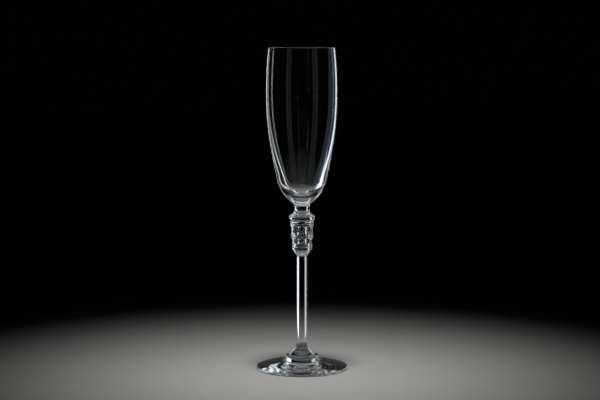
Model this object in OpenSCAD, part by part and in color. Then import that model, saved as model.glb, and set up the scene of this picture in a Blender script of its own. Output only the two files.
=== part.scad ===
// Champagne flute in clear crystal, made of eight hot-joined pieces.
// Millimetres, +Z up, origin in the middle of the ring that the foot stands on.
// Every piece is turned about Z, and each stands face to face on the one below it.

/* [Glass] */
// Height from the table to the rim
glass_h = 230; // [190:1:280]
// Straight pieces used to draw one stretch of a curved outline
curve_steps = 10; // [6:1:20]

/* [Bowl] */
// Height of the bowl
bowl_h = 110.8; // [92:1:135]
// Outside diameter where the bowl is widest
bowl_d = 51; // [42:0.5:62]
// Height of the widest place above the bottom of the bowl
belly_h = 77; // [62:1:90]
// Outside diameter at the rim
rim_d = 47.8; // [39:0.2:58]
// Thickness of the rim
rim_wall = 1; // [0.8:0.1:1.6]
// Wall at the widest place
belly_wall = 1.1; // [0.8:0.1:1.8]
// Outside diameter at the hip, where the rounded bottom turns into the wall
hip_d = 36.2; // [32:0.2:41]
// Height of the hip above the bottom of the bowl
hip_h = 18; // [15:0.5:22]
// Wall at the hip
hip_wall = 4.4; // [3:0.1:5.5]
// Solid glass under the cavity
base_t = 7.2; // [5:0.1:9]

/* [Neck and collar] */
// Diameter where the bowl is joined to the neck
neck_top_d = 13; // [10.8:0.1:15.6]
// Height of the neck
neck_h = 6.2; // [5:0.5:8]
// Diameter of the neck at its waist
neck_d = 10.8; // [9:0.1:12]
// Height of the waist above the collar
waist_h = 2.8; // [2:0.1:3.6]
// Diameter where the neck is joined to the collar
neck_foot_d = 11.6; // [9.6:0.1:14]
// Height of the collar
collar_h = 6; // [5:0.1:8]
// Diameter of the collar
collar_d = 18.8; // [18:0.1:23]
// Height of its widest place above the knop
collar_belly_h = 2.4; // [1.6:0.1:3]
// Height of the shoulder above the knop
shoulder_h = 3.6; // [3.3:0.1:4.6]
// Radius lost between the widest place and the shoulder
shoulder_in = 0.6; // [0.3:0.1:1.2]

/* [Knop] */
// Diameter where the collar is joined to the knop
knop_top_d = 16.6; // [15:0.1:17.6]
// Diameter of the top tier of the knop
knop_d = 17.3; // [16.8:0.1:20.8]
// Height of each tier, from the top tier down
tier_h = [4.1, 8.7, 6.3];
// Radius that each tier loses to the one above
tier_step = 0.7; // [0.3:0.1:0.8]
// Depth of the groove at the top and bottom of a tier
groove = 0.3; // [0.1:0.1:0.4]
// Olive cuts round each tier
olives = 18; // [12:1:24]
// Depth of an olive cut
olive_depth = 0.5; // [0.3:0.05:0.6]
// Glass left between one olive cut and the next
olive_gap = 0.5; // [0.4:0.05:1]
// Height of the plain bead and taper under the tiers
taper_h = 7; // [5.8:0.1:9]
// Height of the bead, the round part of it next to the tiers
bead_h = 2.4; // [1.6:0.1:3]
// Radius that the bead loses on its way down to the taper
bead_in = 0.6; // [0.3:0.1:1]

/* [Stem] */
// Diameter of the stem rod
stem_d = 7.3; // [6:0.1:9]
// Height of the flare at the bottom of the rod
flare_h = 10.4; // [8.6:0.1:12.6]
// Diameter where the flare is joined to the button
flare_d = 18.6; // [15.4:0.2:22.4]

/* [Foot] */
// Diameter of the button between the stem and the foot
button_d = 24; // [24:0.2:29]
// Height of the button
button_h = 4.4; // [3.6:0.1:5.4]
// Height of its widest place above the foot
button_belly_h = 2.7; // [1.8:0.1:3]
// Diameter where the button is joined to the foot
button_foot_d = 22.8; // [19:0.2:24]
// Diameter of the foot
foot_d = 66; // [55:0.5:80]
// Thickness of the foot in the middle, from the table to the button
foot_h = 5.6; // [4.6:0.1:7]
// Thickness at the edge of the foot
foot_edge = 1.6; // [1.2:0.1:2]
// Width of the ring that the foot stands on
ring_w = 2.2; // [1.5:0.1:4]
// Height of the hollow under the middle of the foot
hollow_h = 1.5; // [0:0.1:2]

/* [Hidden] */

glass = [0.86, 0.91, 0.93, 0.55];
round_fn = 96;
olive_steps = 4;

tiers_h = tier_h[0] + tier_h[1] + tier_h[2];
knop_h = tiers_h + taper_h;

// Height of the underside of each piece above the table
button_z = foot_h;
flare_z = button_z + button_h;
stem_z = flare_z + flare_h;
bowl_z = glass_h - bowl_h;
neck_z = bowl_z - neck_h;
collar_z = neck_z - collar_h;
knop_z = collar_z - knop_h;
stem_h = knop_z - stem_z;

bowl_r = bowl_d / 2;
hip_r = hip_d / 2;
rim_r = rim_d / 2;
collar_r = collar_d / 2;
knop_r = knop_d / 2;
stem_r = stem_d / 2;
button_r = button_d / 2;
foot_r = foot_d / 2;

// A step from point p at angle a, of length l
function towards(p, a, l) = p + l * [cos(a), sin(a)];

function cubic(a, b, c, d, t) =
    pow(1 - t, 3) * a + 3 * pow(1 - t, 2) * t * b + 3 * (1 - t) * t * t * c + pow(t, 3) * d;

// Smooth curve that leaves p at angle p_a and reaches q at angle q_a.
// p_pull and q_pull say how far it holds each direction, as a share of the distance.
function sweep(p, p_a, p_pull, q, q_a, q_pull) =
    let (span = norm(q - p))
    let (b = towards(p, p_a, p_pull * span))
    let (c = towards(q, q_a, -q_pull * span))
    [for (i = [0 : curve_steps]) cubic(p, b, c, q, i / curve_steps)];

// Round stretch of radius r about c, from angle a0 to a1
function bend(c, r, a0, a1) =
    [for (i = [0 : curve_steps]) towards(c, a0 + (a1 - a0) * i / curve_steps, r)];

module turned(outline) {
    rotate_extrude($fn = round_fn) polygon(outline);
}

module bowl() {
    foot_p = [neck_top_d / 2, 0];
    hip_p = [hip_r, hip_h];
    belly_p = [bowl_r, belly_h];
    rim_round = rim_wall / 2;
    rim_p = [rim_r, bowl_h - rim_round];
    in_rim_p = [rim_r - rim_wall, bowl_h - rim_round];
    in_belly_p = [bowl_r - belly_wall, belly_h];
    in_hip_p = [hip_r - hip_wall, hip_h - 1];
    in_base_p = [0, base_t];
    color(glass) translate([0, 0, bowl_z]) turned(concat(
        [[0, 0]],
        sweep(foot_p, 26, 0.31, hip_p, 80, 0.3),
        sweep(hip_p, 80, 0.23, belly_p, 90, 0.5),
        sweep(belly_p, 90, 0.41, rim_p, 96, 0.35),
        bend([rim_r - rim_round, bowl_h - rim_round], rim_round, 0, 180),
        sweep(in_rim_p, -84, 0.35, in_belly_p, -90, 0.41),
        sweep(in_belly_p, -90, 0.46, in_hip_p, -107.5, 0.24),
        sweep(in_hip_p, -107.5, 0.36, in_base_p, 180, 0.46)
    ));
}

module neck() {
    top_p = [neck_top_d / 2, neck_h];
    waist_p = [neck_d / 2, waist_h];
    foot_p = [neck_foot_d / 2, 0];
    color(glass) translate([0, 0, neck_z]) turned(concat(
        [[0, neck_h], [0, 0]],
        sweep(foot_p, 110, 0.3, waist_p, 90, 0.3),
        sweep(waist_p, 90, 0.4, top_p, 50, 0.3)
    ));
}

module collar() {
    foot_p = [knop_top_d / 2, 0];
    belly_p = [collar_r, collar_belly_h];
    shoulder_p = [collar_r - shoulder_in, shoulder_h];
    top_p = [neck_foot_d / 2, collar_h];
    color(glass) translate([0, 0, collar_z]) turned(concat(
        [[0, collar_h], [0, 0]],
        sweep(foot_p, 40, 0.35, belly_p, 90, 0.4),
        sweep(belly_p, 90, 0.4, shoulder_p, 135, 0.3),
        sweep(shoulder_p, 145, 0.35, top_p, 110, 0.25)
    ));
}

// Radius of tier i, and height of its lower edge above the bottom of the knop
function tier_r(i) = knop_r - i * tier_step;
function tier_z(i) = i == 0 ? knop_h - tier_h[0] : tier_z(i - 1) - tier_h[i];

function tier_outline(i) =
    let (r = tier_r(i))
    let (low = tier_z(i))
    let (high = low + tier_h[i])
    let (top_r = i == 0 ? knop_top_d / 2 : r - groove)
    let (side_r = i == 0 ? top_r : r)
    [[r - groove, low], [r, low + 2 * groove], [side_r, high - 2 * groove], [top_r, high]];

// One olive cut: a slim upright spindle sunk olive_depth into the surface at x = 0.
// length and width are those of the cut where it breaks the surface.
module olive(length, width) {
    long_r = (length * length / 4 + olive_depth * olive_depth) / (2 * olive_depth);
    cross_r = (width * width / 4 + olive_depth * olive_depth) / (2 * olive_depth);
    tip = acos(1 - cross_r / long_r);
    translate([cross_r - olive_depth, 0, 0])
        turned([for (i = [0 : olive_steps]) towards([cross_r - long_r, 0], tip * (2 * i / olive_steps - 1), long_r)]);
}

// Tier i with its olive cuts
module tier(i) {
    length = tier_h[i] - 4 * groove;
    width = 2 * PI * tier_r(i) / olives - olive_gap;
    difference() {
        turned(concat([[0, tier_z(i) + tier_h[i]], [0, tier_z(i)]], tier_outline(i)));
        for (k = [0 : olives - 1])
            rotate([0, 0, k * 360 / olives])
                translate([tier_r(i), 0, tier_z(i) + tier_h[i] / 2]) olive(length, width);
    }
}

module knop() {
    last = len(tier_h) - 1;
    top_z = tier_z(last);
    bead_r = tier_r(last);
    bead_p = [bead_r, top_z - 2 * groove];
    under_p = [bead_r - bead_in, top_z - bead_h];
    color(glass) translate([0, 0, knop_z]) {
        turned(concat(
            [[0, top_z], [0, 0]],
            sweep([stem_r, 0], 80, 0.3, under_p, 50, 0.3),
            sweep(under_p, 50, 0.4, bead_p, 90, 0.4),
            [[bead_r - groove, top_z]]
        ));
        for (i = [0 : last]) tier(i);
    }
}

module stem() {
    color(glass) translate([0, 0, stem_z]) cylinder(r = stem_r, h = stem_h, $fn = round_fn);
}

module flare() {
    color(glass) translate([0, 0, flare_z]) turned(concat(
        [[0, flare_h], [0, 0]],
        sweep([flare_d / 2, 0], 137, 0.26, [stem_r, flare_h], 90, 0.54)
    ));
}

module button() {
    foot_p = [button_foot_d / 2, 0];
    belly_p = [button_r, button_belly_h];
    top_p = [flare_d / 2, button_h];
    color(glass) translate([0, 0, button_z]) turned(concat(
        [[0, button_h], [0, 0]],
        sweep(foot_p, 60, 0.3, belly_p, 90, 0.35),
        sweep(belly_p, 90, 0.45, top_p, 157, 0.6)
    ));
}

module foot() {
    edge_round = foot_edge / 2;
    edge_p = [foot_r - edge_round, foot_edge];
    top_p = [button_foot_d / 2, foot_h];
    ring_p = [foot_r - edge_round - ring_w, 0];
    hollow_p = [0, hollow_h];
    color(glass) turned(concat(
        [[0, foot_h]],
        sweep(hollow_p, 0, 0.4, ring_p, 0, 0.4),
        bend([foot_r - edge_round, edge_round], edge_round, -90, 90),
        sweep(edge_p, 173, 0.4, top_p, 128, 0.12)
    ));
}

foot();
button();
flare();
stem();
knop();
collar();
neck();
bowl();
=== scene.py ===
"""Champagne flute in clear lead-free crystal, on a pale floor in a dark studio with soft panels.

Every piece is a body of revolution: its outline is drawn as a Bezier curve in the XZ plane, in
millimetres, and spun about Z. The olive cuts of the knop are then taken out with cutters, as on a wheel.
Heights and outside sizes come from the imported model; the rest are the glass's own sizes, named below.
"""

import math

import bpy
from mathutils import Matrix, Vector


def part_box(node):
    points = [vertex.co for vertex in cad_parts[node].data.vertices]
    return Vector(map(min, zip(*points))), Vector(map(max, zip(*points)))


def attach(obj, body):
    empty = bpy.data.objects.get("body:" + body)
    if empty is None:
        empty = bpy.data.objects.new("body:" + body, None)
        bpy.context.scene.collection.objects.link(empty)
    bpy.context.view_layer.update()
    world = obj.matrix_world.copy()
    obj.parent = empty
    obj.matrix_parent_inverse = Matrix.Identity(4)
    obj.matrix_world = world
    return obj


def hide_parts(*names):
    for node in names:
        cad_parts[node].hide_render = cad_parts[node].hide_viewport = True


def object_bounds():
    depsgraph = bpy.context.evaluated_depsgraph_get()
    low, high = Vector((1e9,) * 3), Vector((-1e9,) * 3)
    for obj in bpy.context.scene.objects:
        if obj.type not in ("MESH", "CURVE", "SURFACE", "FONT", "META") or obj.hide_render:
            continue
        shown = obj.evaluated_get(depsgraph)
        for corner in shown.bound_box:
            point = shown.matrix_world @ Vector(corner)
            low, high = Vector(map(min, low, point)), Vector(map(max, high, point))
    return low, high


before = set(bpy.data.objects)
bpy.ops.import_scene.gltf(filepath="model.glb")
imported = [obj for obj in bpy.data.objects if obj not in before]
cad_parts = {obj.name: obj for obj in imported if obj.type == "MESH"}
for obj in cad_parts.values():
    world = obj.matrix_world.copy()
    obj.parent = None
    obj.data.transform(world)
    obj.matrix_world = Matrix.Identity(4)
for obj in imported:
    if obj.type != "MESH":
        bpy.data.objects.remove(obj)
cad_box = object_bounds()

MM = 0.001
TURN_STEPS = 160          # steps once round the glass
OLIVE_TURN_STEPS = 72     # steps once round an olive cutter
CURVE_STEPS = 14          # steps along each stretch of an outline
WELD = 0.002 * MM         # points and faces nearer than this are taken as one
CREASE = 35               # edges sharper than this many degrees stay crisp

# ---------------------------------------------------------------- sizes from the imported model, in mm


def foot_z(node):
    """Height of a piece's underside above the table."""
    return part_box(node)[0][2] / MM


def tall(node):
    return (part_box(node)[1][2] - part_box(node)[0][2]) / MM


def radius(node):
    """Largest radius of a piece."""
    low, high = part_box(node)
    return max(high[0] - low[0], high[1] - low[1]) / 2 / MM


BOWL_R = radius("bowl")
BOWL_H = tall("bowl")
FOOT_R = radius("foot")
FOOT_H = tall("foot")
STEM_R = radius("stem")
BUTTON_R = radius("button")
FLARE_R = radius("flare")
NECK_TOP_R = radius("neck")
COLLAR_R = radius("collar")
KNOP_R = radius("knop")

# ---------------------------------------------------------------- sizes of the glass itself, in mm

RIM_R = 23.9
RIM_WALL = 1.0
BELLY_H = 77.0
BELLY_WALL = 1.1
HIP_R = 18.1
HIP_H = 18.0
HIP_WALL = 4.4
HIP_DROP = 1.0            # the hollow turns in this much lower than the outside does
BASE_T = 7.2

NECK_R = 5.4
WAIST_H = 2.8
NECK_FOOT_R = 5.8

COLLAR_BELLY_H = 2.4
SHOULDER_H = 3.6
SHOULDER_IN = 0.6

KNOP_TOP_R = 8.3
TIER_H = (4.1, 8.7, 6.3)  # top tier first
TIER_STEP = 0.7
GROOVE = 0.3
OLIVES = 18
KNOP_TURN_STEPS = 10 * OLIVES
OLIVE_DEPTH = 0.5
OLIVE_GAP = 0.5
BEAD_H = 2.4
BEAD_IN = 0.6

BUTTON_BELLY_H = 2.7
BUTTON_FOOT_R = 11.4
FOOT_EDGE = 1.6
RING_W = 2.2
HOLLOW_H = 1.5

# ---------------------------------------------------------------- turning


def only(obj):
    """Leaves obj as the one selected and active object."""
    bpy.ops.object.select_all(action="DESELECT")
    obj.select_set(True)
    bpy.context.view_layer.objects.active = obj


def towards(point, angle, length):
    """The point that lies length away at angle degrees."""
    a = math.radians(angle)
    return (point[0] + length * math.cos(a), point[1] + length * math.sin(a))


def sweep(p, p_angle, p_pull, q, q_angle, q_pull):
    """A smooth stretch that leaves p at p_angle and reaches q at q_angle.

    The pulls say how far it holds each direction, as a share of the distance."""
    span = math.dist(p, q)
    return (p, towards(p, p_angle, p_pull * span), towards(q, q_angle, -q_pull * span), q)


def line(p, q):
    angle = math.degrees(math.atan2(q[1] - p[1], q[0] - p[0]))
    return sweep(p, angle, 1 / 3, q, angle, 1 / 3)


def bend(centre, r, a0, a1):
    """A round stretch of radius r about centre, from angle a0 to a1."""
    pull = 4 / 3 * math.tan(math.radians(a1 - a0) / 4) * r
    p, q = towards(centre, a0, r), towards(centre, a1, r)
    return (p, towards(p, a0 + 90, pull), towards(q, a1 + 90, -pull), q)


def turned(name, z, stretches, steps=TURN_STEPS):
    """A closed solid of revolution, z above the table.

    The stretches make one outline, from axis to axis."""
    bpy.ops.curve.primitive_bezier_curve_add(radius=MM)
    obj = bpy.context.object
    obj.name = name
    spline = obj.data.splines[0]
    spline.bezier_points.add(len(stretches) + 1 - len(spline.bezier_points))
    obj.data.resolution_u = CURVE_STEPS

    def place(point):
        return Vector((point[0], 0, point[1] + z)) * MM

    for point in spline.bezier_points:
        point.handle_left_type = point.handle_right_type = "FREE"
    points = spline.bezier_points
    for start, end, (p, p_handle, q_handle, q) in zip(points, points[1:], stretches):
        start.co, start.handle_right = place(p), place(p_handle)
        end.handle_left, end.co = place(q_handle), place(q)
    only(obj)
    bpy.ops.object.convert(target="MESH")
    bpy.ops.object.mode_set(mode="EDIT")
    bpy.ops.mesh.select_all(action="SELECT")
    bpy.ops.mesh.spin(steps=steps, angle=math.tau, center=(0, 0, 0), axis=(0, 0, 1))
    bpy.ops.mesh.select_all(action="SELECT")
    bpy.ops.mesh.remove_doubles(threshold=WELD)
    bpy.ops.mesh.normals_make_consistent(inside=False)
    bpy.ops.object.mode_set(mode="OBJECT")
    return obj


# ---------------------------------------------------------------- the pieces


def make_bowl():
    foot_p = (NECK_TOP_R, 0)
    hip_p = (HIP_R, HIP_H)
    belly_p = (BOWL_R, BELLY_H)
    rim_p = (RIM_R, BOWL_H - RIM_WALL / 2)
    in_rim_p = (RIM_R - RIM_WALL, BOWL_H - RIM_WALL / 2)
    in_belly_p = (BOWL_R - BELLY_WALL, BELLY_H)
    in_hip_p = (HIP_R - HIP_WALL, HIP_H - HIP_DROP)
    return turned("bowl_glass", foot_z("bowl"), [
        line((0, 0), foot_p),
        sweep(foot_p, 26, 0.31, hip_p, 80, 0.3),
        sweep(hip_p, 80, 0.23, belly_p, 90, 0.5),
        sweep(belly_p, 90, 0.41, rim_p, 96, 0.35),
        bend((RIM_R - RIM_WALL / 2, BOWL_H - RIM_WALL / 2), RIM_WALL / 2, 0, 180),
        sweep(in_rim_p, -84, 0.35, in_belly_p, -90, 0.41),
        sweep(in_belly_p, -90, 0.46, in_hip_p, -107.5, 0.24),
        sweep(in_hip_p, -107.5, 0.36, (0, BASE_T), 180, 0.46),
    ])


def make_neck():
    h = tall("neck")
    foot_p, waist_p, top_p = (NECK_FOOT_R, 0), (NECK_R, WAIST_H), (NECK_TOP_R, h)
    return turned("neck_glass", foot_z("neck"), [
        line((0, 0), foot_p),
        sweep(foot_p, 110, 0.3, waist_p, 90, 0.3),
        sweep(waist_p, 90, 0.4, top_p, 50, 0.3),
        line(top_p, (0, h)),
    ])


def make_collar():
    h = tall("collar")
    foot_p, belly_p = (KNOP_TOP_R, 0), (COLLAR_R, COLLAR_BELLY_H)
    shoulder_p, top_p = (COLLAR_R - SHOULDER_IN, SHOULDER_H), (NECK_FOOT_R, h)
    return turned("collar_glass", foot_z("collar"), [
        line((0, 0), foot_p),
        sweep(foot_p, 40, 0.35, belly_p, 90, 0.4),
        sweep(belly_p, 90, 0.4, shoulder_p, 135, 0.3),
        sweep(shoulder_p, 145, 0.35, top_p, 110, 0.25),
        line(top_p, (0, h)),
    ])


def tier_radius(i):
    return KNOP_R - i * TIER_STEP


def tier_low(i):
    """Height of the lower edge of tier i above the bottom of the knop."""
    return tall("knop") - sum(TIER_H[:i + 1])


def tier_stretches(i):
    """The outline of one tier, from its lower groove to its upper one."""
    r, low = tier_radius(i), tier_low(i)
    high = low + TIER_H[i]
    top_r = KNOP_TOP_R if i == 0 else r - GROOVE
    side_r = KNOP_TOP_R if i == 0 else r
    low_p, side_low = (r - GROOVE, low), (r, low + 2 * GROOVE)
    side_high, high_p = (side_r, high - 2 * GROOVE), (top_r, high)
    return [
        sweep(low_p, 20, 0.35, side_low, 90, 0.4),
        line(side_low, side_high),
        sweep(side_high, 90, 0.4, high_p, 150, 0.35),
    ]


def olive_cutter(i):
    """The cutter for tier i: slim upright spindles, OLIVE_DEPTH into the surface, all the way round."""
    length = TIER_H[i] - 4 * GROOVE
    width = math.tau * tier_radius(i) / OLIVES - OLIVE_GAP
    long_r = (length ** 2 / 4 + OLIVE_DEPTH ** 2) / (2 * OLIVE_DEPTH)
    cross_r = (width ** 2 / 4 + OLIVE_DEPTH ** 2) / (2 * OLIVE_DEPTH)
    tip = math.degrees(math.acos(1 - cross_r / long_r))
    middle = foot_z("knop") + tier_low(i) + TIER_H[i] / 2
    spindle = bend((cross_r - long_r, 0), long_r, -tip, tip)
    first = turned("olive", middle, [spindle], OLIVE_TURN_STEPS)
    out = tier_radius(i) + cross_r - OLIVE_DEPTH
    bpy.ops.object.mode_set(mode="EDIT")
    bpy.ops.mesh.select_all(action="SELECT")
    bpy.ops.transform.translate(value=(out * MM, 0, 0))
    bpy.ops.object.mode_set(mode="OBJECT")
    copies = []
    for k in range(OLIVES):
        copy = first.copy()
        copy.data = first.data.copy()
        bpy.context.collection.objects.link(copy)
        copy.data.transform(Matrix.Rotation(k * math.tau / OLIVES, 4, "Z"))
        copies.append(copy)
    bpy.data.objects.remove(first)
    only(copies[0])
    for copy in copies:
        copy.select_set(True)
    bpy.ops.object.join()
    return bpy.context.object


def cut(obj, cutter):
    only(obj)
    modifier = obj.modifiers.new("Olive cuts", "BOOLEAN")
    modifier.operation = "DIFFERENCE"
    modifier.solver = "EXACT"
    modifier.object = cutter
    bpy.ops.object.modifier_apply(modifier=modifier.name)
    bpy.data.objects.remove(cutter)


def make_knop():
    last = len(TIER_H) - 1
    top = tier_low(last)
    bead_r = tier_radius(last)
    bead_p, under_p = (bead_r, top - 2 * GROOVE), (bead_r - BEAD_IN, top - BEAD_H)
    groove_p = (bead_r - GROOVE, top)
    outline = [
        line((0, 0), (STEM_R, 0)),
        sweep((STEM_R, 0), 80, 0.3, under_p, 50, 0.3),
        sweep(under_p, 50, 0.4, bead_p, 90, 0.4),
        sweep(bead_p, 90, 0.4, groove_p, 160, 0.35),
    ]
    for i in reversed(range(len(TIER_H))):
        low_p = (tier_radius(i) - GROOVE, tier_low(i))
        if outline[-1][3] != low_p:
            outline.append(line(outline[-1][3], low_p))
        outline += tier_stretches(i)
    outline.append(line(outline[-1][3], (0, tall("knop"))))
    knop = turned("knop_glass", foot_z("knop"), outline, KNOP_TURN_STEPS)
    for i in range(len(TIER_H)):
        cut(knop, olive_cutter(i))
    return knop


def make_stem():
    h = tall("stem")
    return turned("stem_glass", foot_z("stem"), [
        line((0, 0), (STEM_R, 0)),
        line((STEM_R, 0), (STEM_R, h)),
        line((STEM_R, h), (0, h)),
    ])


def make_flare():
    h = tall("flare")
    return turned("flare_glass", foot_z("flare"), [
        line((0, 0), (FLARE_R, 0)),
        sweep((FLARE_R, 0), 137, 0.26, (STEM_R, h), 90, 0.54),
        line((STEM_R, h), (0, h)),
    ])


def make_button():
    h = tall("button")
    foot_p, belly_p, top_p = (BUTTON_FOOT_R, 0), (BUTTON_R, BUTTON_BELLY_H), (FLARE_R, h)
    return turned("button_glass", foot_z("button"), [
        line((0, 0), foot_p),
        sweep(foot_p, 60, 0.3, belly_p, 90, 0.35),
        sweep(belly_p, 90, 0.45, top_p, 157, 0.6),
        line(top_p, (0, h)),
    ])


def make_foot():
    edge_r = FOOT_EDGE / 2
    ring_p = (FOOT_R - edge_r - RING_W, 0)
    edge_p, top_p = (FOOT_R - edge_r, FOOT_EDGE), (BUTTON_FOOT_R, FOOT_H)
    return turned("foot_glass", foot_z("foot"), [
        sweep((0, HOLLOW_H), 0, 0.4, ring_p, 0, 0.4),
        line(ring_p, (FOOT_R - edge_r, 0)),
        bend((FOOT_R - edge_r, edge_r), edge_r, -90, 90),
        sweep(edge_p, 173, 0.4, top_p, 128, 0.12),
        line(top_p, (0, FOOT_H)),
    ])


PIECES = {
    "bowl": make_bowl(),
    "neck": make_neck(),
    "collar": make_collar(),
    "knop": make_knop(),
    "stem": make_stem(),
    "flare": make_flare(),
    "button": make_button(),
    "foot": make_foot(),
}

# ---------------------------------------------------------------- materials

GLASS_IOR = 1.53          # how strongly crystal bends light
RIPPLE_SCALE = 90.0       # ripples in a metre
RIPPLE_STRENGTH = 0.06
RIPPLE_DEPTH = 0.0001     # m


def srgb(code):
    """The linear colour of an sRGB hex code."""
    parts = [int(code[i:i + 2], 16) / 255 for i in (1, 3, 5)]
    return tuple(c / 12.92 if c <= 0.04045 else ((c + 0.055) / 1.055) ** 2.4 for c in parts) + (1.0,)


def node(tree, kind, settings=None, **inputs):
    """Adds a node, sets its properties and its inputs, and links an input that is given a socket."""
    new = tree.nodes.new(kind)
    for key, value in (settings or {}).items():
        setattr(new, key, value)
    for key, value in inputs.items():
        socket = new.inputs[key.replace("_", " ")]
        if isinstance(value, bpy.types.NodeSocket):
            tree.links.new(value, socket)
        else:
            socket.default_value = value
    return new


def material(name):
    new = bpy.data.materials.new(name)
    new.use_nodes = True
    new.node_tree.nodes.clear()
    return new, new.node_tree


def crystal():
    """Lead-free crystal, blown and fire-polished.

    Its high index gives the bright edges; a long, very shallow ripple in the skin bends reflections a
    little, as on glass worked by hand."""
    new, tree = material("Fire-polished crystal glass")
    coords = node(tree, "ShaderNodeTexCoord")
    ripple = node(tree, "ShaderNodeTexNoise", Vector=coords.outputs["Object"],
                  Scale=RIPPLE_SCALE, Detail=1.0)
    skin = node(tree, "ShaderNodeBump", Height=ripple.outputs["Fac"],
                Strength=RIPPLE_STRENGTH, Distance=RIPPLE_DEPTH)
    glass = node(tree, "ShaderNodeBsdfPrincipled", Normal=skin.outputs["Normal"], Roughness=0.0,
                 IOR=GLASS_IOR, Transmission_Weight=1.0, Base_Color=srgb("#FAFDFE"))
    node(tree, "ShaderNodeOutputMaterial", Surface=glass.outputs["BSDF"])
    return new


def fused_join():
    """A hot join: glass runs straight through it, so nothing shows."""
    new, tree = material("Fused join, clear through")
    glass = node(tree, "ShaderNodeBsdfPrincipled", Alpha=0.0, Roughness=0.0, IOR=GLASS_IOR)
    node(tree, "ShaderNodeOutputMaterial", Surface=glass.outputs["BSDF"])
    return new


def floor_paper():
    """Matt studio paper: pale, with a faint mottle."""
    new, tree = material("Pale studio paper")
    coords = node(tree, "ShaderNodeTexCoord")
    mottle = node(tree, "ShaderNodeTexNoise", Vector=coords.outputs["Object"],
                  Scale=40.0, Detail=3.0)
    shades = node(tree, "ShaderNodeValToRGB", Fac=mottle.outputs["Fac"])
    shades.color_ramp.elements[0].color = srgb("#DAD9D6")
    shades.color_ramp.elements[1].color = srgb("#E2E1DE")
    paper = node(tree, "ShaderNodeBsdfPrincipled", Base_Color=shades.outputs["Color"],
                 Roughness=0.9)
    node(tree, "ShaderNodeOutputMaterial", Surface=paper.outputs["BSDF"])
    return new


CRYSTAL = crystal()
JOIN = fused_join()
JOIN_HEIGHTS = {foot_z(name) for name in PIECES if name != "foot"}


def finish_piece(name, obj):
    """Gives the outside its glass, the fused faces their join, and smooth normals in between."""
    obj.data.materials.append(CRYSTAL)
    obj.data.materials.append(JOIN)
    for face in obj.data.polygons:
        flat = abs(face.normal.z) > 0.999
        if flat and any(abs(face.center.z - height * MM) < WELD for height in JOIN_HEIGHTS):
            face.material_index = 1
    only(obj)
    bpy.ops.object.shade_smooth_by_angle(angle=math.radians(CREASE))
    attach(obj, "root")
    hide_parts(name)


for piece_name, piece in PIECES.items():
    finish_piece(piece_name, piece)

# ---------------------------------------------------------------- floor, light and camera

FLOOR_SIZE = 8.0
FLOOR_DROP = 0.0002       # the paper lies this far under the foot, so the two faces stay apart
bpy.ops.mesh.primitive_plane_add(size=FLOOR_SIZE, location=(0, 0, -FLOOR_DROP))
floor = bpy.context.object
floor.name = "floor"
floor.data.materials.append(floor_paper())


def group(name, objects):
    """A named group, used only to say which objects a light falls on."""
    new = bpy.data.collections.new(name)
    for obj in objects:
        new.objects.link(obj)
    return new


THE_GLASS = group("the glass", PIECES.values())
THE_FLOOR = group("the floor", [floor])


def lamp(light, place, aim, falls_on):
    """Hangs a light at place, turned to aim.

    It falls on one group only, and the camera doesn't see it."""
    obj = bpy.data.objects.new(light.name, light)
    bpy.context.collection.objects.link(obj)
    obj.location = place
    obj.rotation_euler = (Vector(aim) - Vector(place)).to_track_quat("-Z", "Y").to_euler()
    obj.visible_camera = False
    obj.light_linking.receiver_collection = falls_on
    return obj


def panel(name, place, aim, width, height, brightness, colour="#FFFFFF"):
    """A soft panel for the glass. Brightness is that of its face, and 1 shows as full white."""
    light = bpy.data.lights.new(name, "AREA")
    light.shape = "RECTANGLE"
    light.size, light.size_y = width, height
    light.energy = brightness * math.pi * width * height
    light.color = srgb(colour)[:3]
    return lamp(light, place, aim, THE_GLASS)


PANEL_BACK = 0.1          # the upright panels stand this far behind the glass
TOP_BACK = 0.6            # the wide panels over it stand this far behind


def standing(name, left, right, low, high, brightness, colour="#FFFFFF", back=PANEL_BACK):
    """A panel that stands upright behind the glass and faces the front."""
    place = ((left + right) / 2, back, (low + high) / 2)
    aim = (place[0], back - 1, place[2])
    return panel(name, place, aim, right - left, high - low, brightness, colour)


# Each side has a low panel for the foot and rod, and a narrower high one for the knop and bowl. The
# dark between them keeps the bowl clear, so that only its walls light up.
COOL = "#F0F6FF"
BLUE = "#A8C8EC"
HIGH_TOP = 0.35           # where the high panels end
TOP_SIDE = 0.3            # how far the wide panels reach to each side
TOP_SPLIT = 0.45          # where the lower wide panel ends and the upper one starts
standing("low_right", left=0.055, right=0.2, low=0, high=0.08, brightness=1.5, colour=COOL)
standing("high_right", left=0.082, right=0.122, low=0.08, high=HIGH_TOP, brightness=1.6, colour=COOL)
standing("low_left", left=-0.09, right=-0.045, low=0, high=0.07, brightness=0.65)
standing("high_left", left=-0.066, right=-0.053, low=0.07, high=HIGH_TOP, brightness=1.5)
standing("blue_glow", left=0.026, right=0.048, low=0.08, high=HIGH_TOP, brightness=0.045, colour=BLUE)
standing("top_low", -TOP_SIDE, TOP_SIDE, low=0.27, high=TOP_SPLIT, brightness=0.2, back=TOP_BACK)
standing("top_high", -TOP_SIDE, TOP_SIDE, low=TOP_SPLIT, high=1.0, brightness=0.15, back=TOP_BACK)
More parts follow.
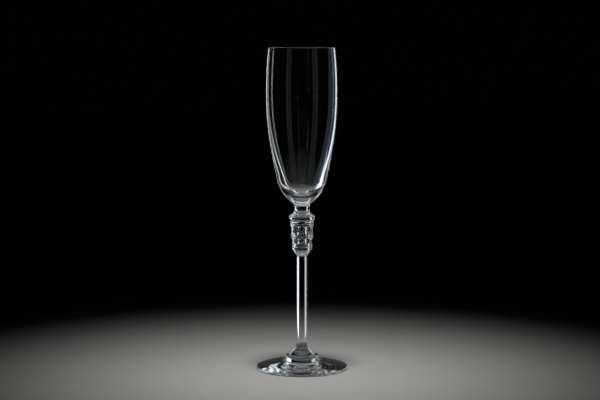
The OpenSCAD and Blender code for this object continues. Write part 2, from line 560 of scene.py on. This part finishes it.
panel("above", place=(0, 0, 0.6), aim=(0, 0, 0), width=0.3, height=0.3, brightness=0.7)

# Weak panels in front draw the edges of the glass for someone who walks round behind it.
FRONT_SIDE = 0.1
for name, x in (("front_left", -FRONT_SIDE), ("front_right", FRONT_SIDE)):
    panel(name, place=(x, -0.1, 0.15), aim=(x, 1, 0.15), width=0.03, height=0.3, brightness=0.12)
panel("front_top", place=(0, -0.6, 0.7), aim=(0, 0, 0.1), width=0.6, height=0.4, brightness=0.3)

# One lamp over the floor makes a soft pool under the glass that fades to dark behind it.
POOL_POWER = 36           # W
POOL_WIDTH = 19           # degrees across the beam
pool = bpy.data.lights.new("pool", "SPOT")
pool.energy = POOL_POWER
pool.spot_size = math.radians(POOL_WIDTH)
pool.spot_blend = 1.0
pool.shadow_soft_size = 0.12
lamp(pool, place=(0, -0.12, 1.3), aim=(0, -0.03, 0), falls_on=THE_FLOOR)

world = bpy.data.worlds.new("Dark studio")
world.use_nodes = True
world.node_tree.nodes["Background"].inputs["Color"].default_value = srgb("#020203")
bpy.context.scene.world = world

RIM_Z = cad_box[1][2]     # the camera stands level with the rim
CAMERA_DISTANCE = 1.1
CAMERA_SIDE = -0.00143
CAMERA_TILT = 5.635       # degrees down from level
CAMERA_LENS = 92.8        # mm
camera_data = bpy.data.cameras.new("camera")
camera_data.sensor_width = 36
camera_data.lens = CAMERA_LENS
camera = bpy.data.objects.new("camera", camera_data)
bpy.context.collection.objects.link(camera)
camera.location = (CAMERA_SIDE, -CAMERA_DISTANCE, RIM_Z)
camera.rotation_euler = (math.radians(90 - CAMERA_TILT), 0, 0)
bpy.context.scene.camera = camera

bpy.context.scene.view_settings.view_transform = "Standard"

# Light runs to and fro inside the foot many times before it leaves, so it needs many bounces.
LIGHT_BOUNCES = 64
cycles = bpy.context.scene.cycles
cycles.max_bounces = LIGHT_BOUNCES
cycles.glossy_bounces = LIGHT_BOUNCES
cycles.transmission_bounces = LIGHT_BOUNCES
cycles.transparent_max_bounces = LIGHT_BOUNCES
